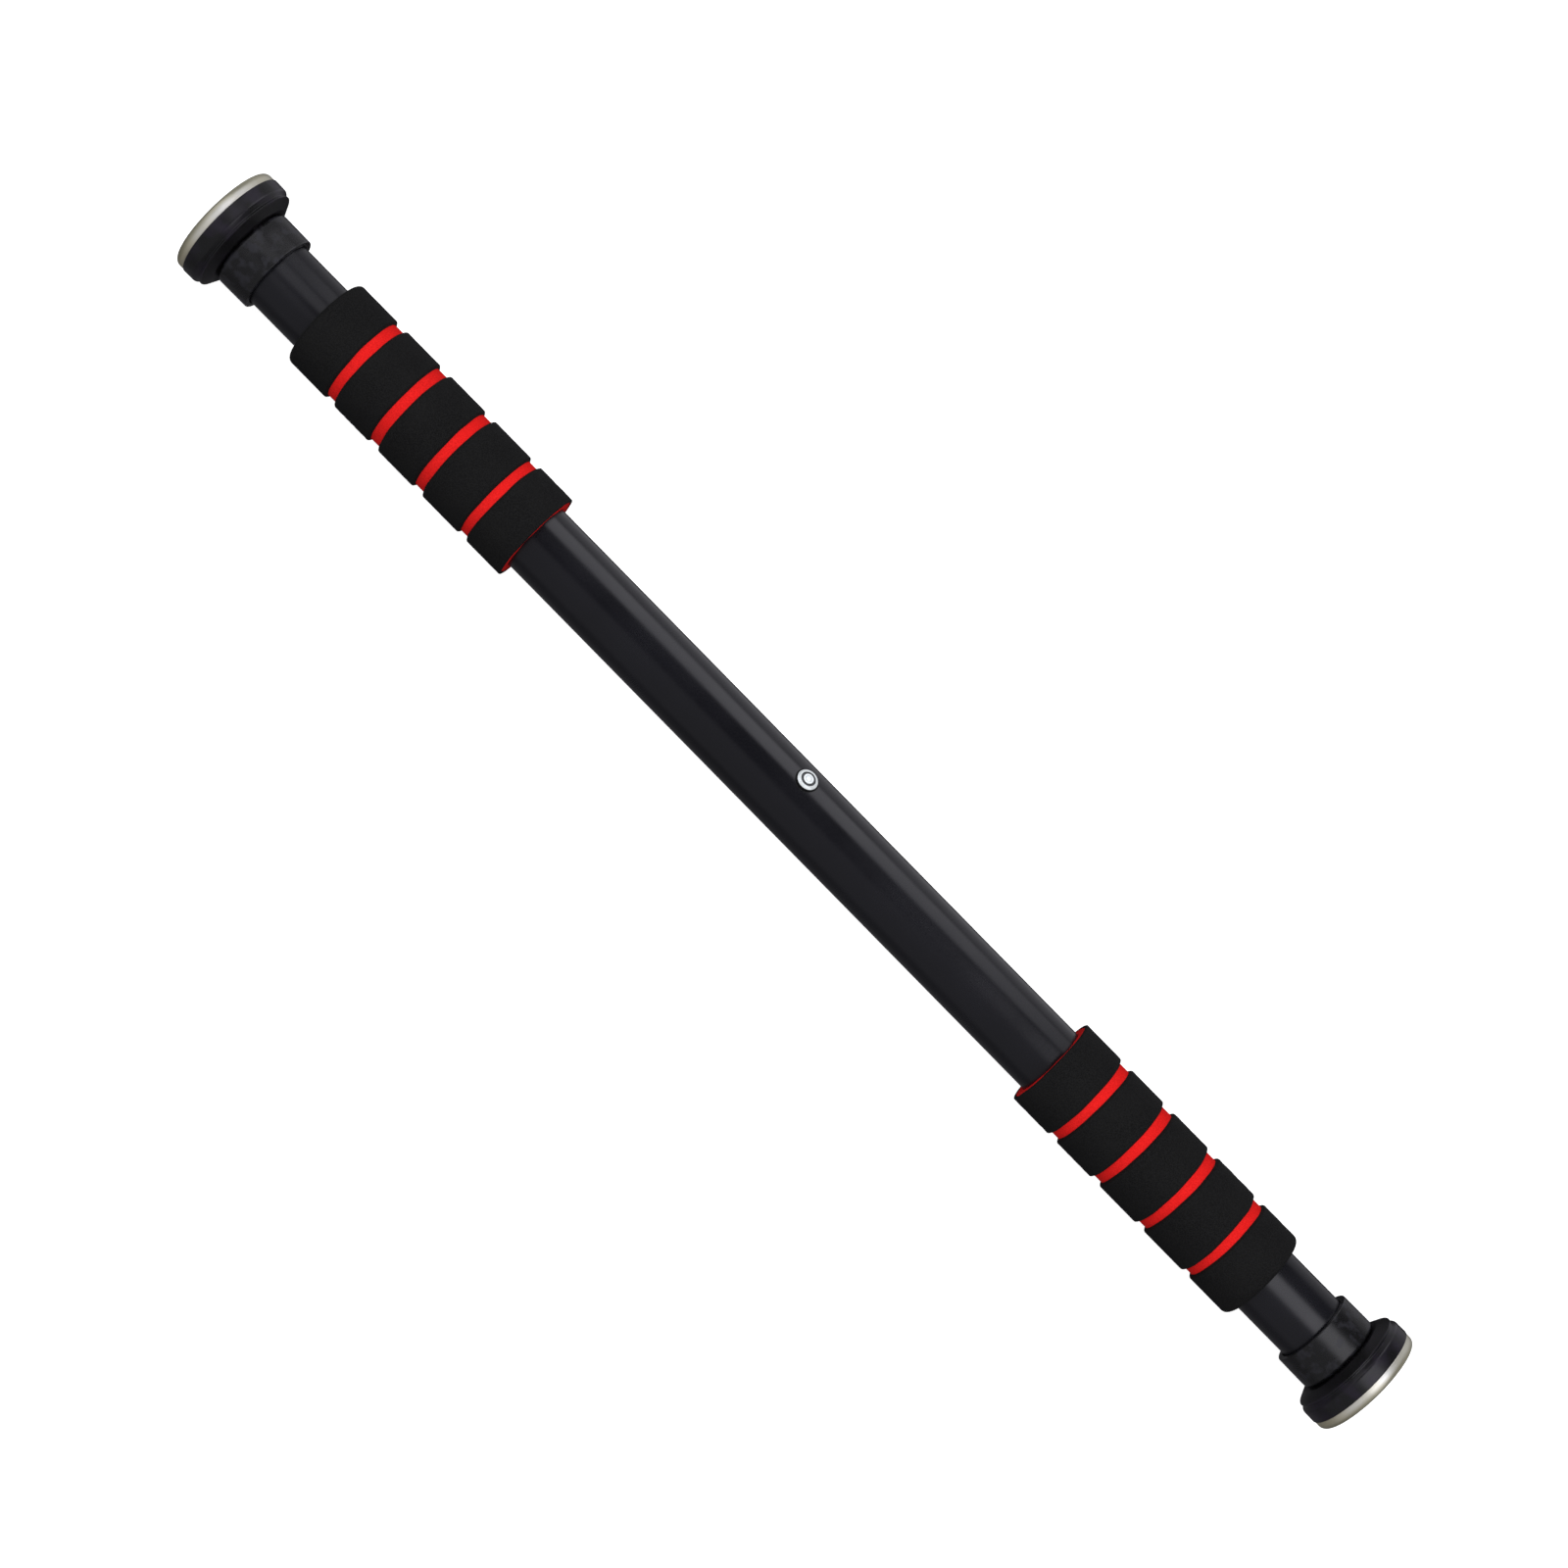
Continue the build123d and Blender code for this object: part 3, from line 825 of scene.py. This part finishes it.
def make_screw(end, side):
    """Threaded tube with a plain journal and a clip groove at its inner end.

    The thread's depth below the crests at a point is a rounded wave of its place in pitches less its
    angle in turns, which makes one helix, mirrored on the other side of the bar. It runs in from
    nothing at both ends, and starts on a short cone.
    """
    node = f"{end}_lead_screw"
    inner, outer = extent(node)[:2]
    journal_end = inner + 14.0
    thread_end = outer - 9.0
    groove_start = inner + 1.5
    groove_end = inner + 2.8
    bore = 9.0
    journal = 11.0
    groove = 10.4
    run_steps = 6
    rest = rounded(
        [
            (outer, CREST, 0.3),
            (outer, bore, 0.3),
            (inner, bore, 0.3),
            (inner, journal, 0.5),
            (groove_start, journal, 0.1),
            (groove_start, groove, 0.1),
            (groove_end, groove, 0.1),
            (groove_end, journal, 0.1),
            (journal_end, journal, 0.1),
            (journal_end + 0.4, journal + 0.3, 0.05),
        ],
        arc_steps=4,
        run_steps=run_steps,
    )
    # the threaded length takes the place of the last run, back to the first corner
    rest = rest[: 1 - run_steps]
    rings_a_turn = 16
    threaded = np.arange(journal_end + 0.8, thread_end, PITCH / rings_a_turn)
    crests = np.stack([threaded, np.full(len(threaded), CREST)], axis=-1)
    outline = np.concatenate([rest, crests])
    steps = 96
    inside_thread = np.clip((outline[:, :1] - journal_end) / 2.5, 0, 1)
    inside_thread = inside_thread * np.clip((thread_end - outline[:, :1]) / 4.0, 0, 1)
    is_thread = (outline[:, 1:] > CREST - 0.1) * (outline[:, :1] < thread_end)
    phase = outline[:, :1] / PITCH - ring_angles(steps) / ROUND
    valley = 0.5 - 0.5 * np.cos(ROUND * phase)
    valley = np.clip(1.35 * valley - 0.12, 0, 1)
    valley = valley * valley * (3 - 2 * valley)
    start_cone = np.clip(1 - (outline[:, :1] - journal_end) / 2.0, 0, 1)
    sunk = np.maximum(THREAD_DEPTH * valley * inside_thread, CONE_DEPTH * start_cone) * is_thread
    grid = turned(outline, side, steps, outwards=-sunk)
    piece(f"{end}_threaded_tube", grid, f"{end}_foot", thread_steel, [node], crease=60)


make_tube()
make_rivet()
for end, side in SIDES.items():
    make_core(end, side, CORE_SEEDS[end])
    make_bands(end, side, BAND_SEEDS[end])
    make_collar(end, side)
    make_cup(end, side)
    make_plate(end, side)
    make_pad(end, side)
    make_screw(end, side)

CAD_FINISHES = {
    "centre_stiffener": steel,
    "thread_nut": guide_nylon,
    "guide_bushing": guide_nylon,
    "guide_clip": steel,
    "screw_flange": steel,
    "load_ring": cup_plastic,
    "foot_bolt": steel,
}
for name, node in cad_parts.items():
    plain_name = name.replace("left_", "").replace("right_", "")
    if plain_name in CAD_FINISHES:
        for material_slot in node.material_slots:
            material_slot.material = CAD_FINISHES[plain_name]


# ---------------------------------------------------------------- floor, light and camera


def backdrop(name, points, faces, finish):
    """A mesh that isn't part of the object, with its points in metres."""
    mesh = bpy.data.meshes.new(name)
    mesh.from_pydata(points, [], faces)
    mesh.materials.append(finish)
    made = placed(name, mesh)
    return made


def make_floor():
    """Plain white table, a little lit of itself, which takes the object's shadow and lights nothing."""
    f = Finish("white_table")
    cloud = f.noise(400, 2)
    colour = f.blend(cloud, grey(0.90), grey(0.93))
    material = f.surface(
        Base_Color=colour,
        Roughness=1.0,
        Specular_IOR_Level=0.0,
        Emission_Color=(1, 1, 1, 1),
        Emission_Strength=0.68,
    )
    reach = 30
    level = cad_low.z
    corners = [(-reach, -reach, level), (reach, -reach, level)]
    corners += [(reach, reach, level), (-reach, reach, level)]
    table = backdrop("table", corners, [(0, 1, 2, 3)], material)
    table.visible_glossy = False
    table.visible_diffuse = False
    table.visible_shadow = False


def make_tent():
    """White studio tent round the bar that only reflections see: a closed tube of 64 sides.

    Its brightness is soft edged panels in two measures: the angle round the bar from straight up
    towards +Y, in degrees, and the place along it, in metres.
    """
    f = Finish("tent_cloth")
    x, y, z = f.parts()
    turn = f.node("ShaderNodeMath", {"operation": "ARCTAN2"}, {0: y, 1: z}) * (180 / math.pi)
    dim = f.ramp(turn, -12, 1, 0.24, 0.015) * f.ramp(turn, -100, -80, 0.42, 1.0)
    below = f.between(turn, 93, 150, 10) * f.ramp(x * x, 0.04, 0.36, 0.56, 0.34)
    front_panel = f.between(turn, 47, 89, 4) * f.between(x, -0.55, 0.30, 0.2) * 1.5
    right_panel = f.between(turn, -5, 40, 7) * f.ramp(x, 0.25, 0.56) * f.ramp(x, 0.62, 0.82, 2.25, 1.0)
    left_panel = f.between(turn, 8, 42, 8) * f.ramp(x, -0.38, -0.62) * 0.9
    left_end_panel = f.between(turn, -25, 12, 9) * f.ramp(x, -0.64, -0.78) * 0.5
    glow = dim + below + front_panel + right_panel + left_panel + left_end_panel
    shader = f.node("ShaderNodeEmission", {}, {"Color": (1.0, 0.99, 1.06, 1), "Strength": glow})
    f.node("ShaderNodeOutputMaterial", {}, {0: shader})
    f.owner.cycles.emission_sampling = "NONE"
    sides = 64
    half_length = 5.0
    reach = 1.5
    vertices = turned(np.array([(-half_length, reach), (half_length, reach)]), steps=sides)
    this = np.arange(sides)
    after = (this + 1) % sides
    walls = np.stack([this, after, after + sides, this + sides], axis=-1)
    faces = walls.tolist() + [this.tolist(), (this + sides).tolist()]
    tent = backdrop("tent", vertices.reshape(-1, 3).tolist(), faces, f.owner)
    tent.visible_camera = False
    tent.visible_diffuse = False
    tent.visible_shadow = False
    tent.visible_transmission = False


def make_light():
    """Soft white daylight from above and a wide lamp on the +Y side. Neither is seen in reflections."""
    world = bpy.data.worlds.new("studio")
    sky = Finish("studio", world, "Generated")
    height = sky.parts()[2]
    daylight = sky.ramp(height, -0.1, 0.75, 0.10, 1.08, kind="LINEAR")
    background = sky.node("ShaderNodeBackground", {}, {"Strength": daylight})
    sky.node("ShaderNodeOutputWorld", {}, {0: background})
    world.cycles_visibility.glossy = False
    bpy.context.scene.world = world
    lamp = bpy.data.lights.new("wide_lamp", "AREA")
    lamp.shape = "RECTANGLE"
    lamp.size = 1.6
    lamp.size_y = 1.6
    lamp.energy = 22
    holder = placed("wide_lamp", lamp)
    holder.location = (0.0, 1.1, 1.9)
    holder.rotation_euler = (math.radians(-30), 0, 0)
    holder.visible_glossy = False


def make_camera():
    """Long lens straight above the bar, turned so that the bar lies corner to corner."""
    eye = bpy.data.cameras.new("eye")
    eye.lens = 78.75
    eye.sensor_width = 36.0
    holder = placed("eye", eye)
    holder.location = (-0.0082, 0.0018, 1.423)
    # the bar's slope in the frame
    down = 0.71372
    across = 0.70043
    holder.rotation_euler = (0, 0, math.atan2(down, across))
    bpy.context.scene.camera = holder


make_floor()
make_tent()
make_light()
make_camera()
bpy.context.scene.view_settings.view_transform = "Standard"
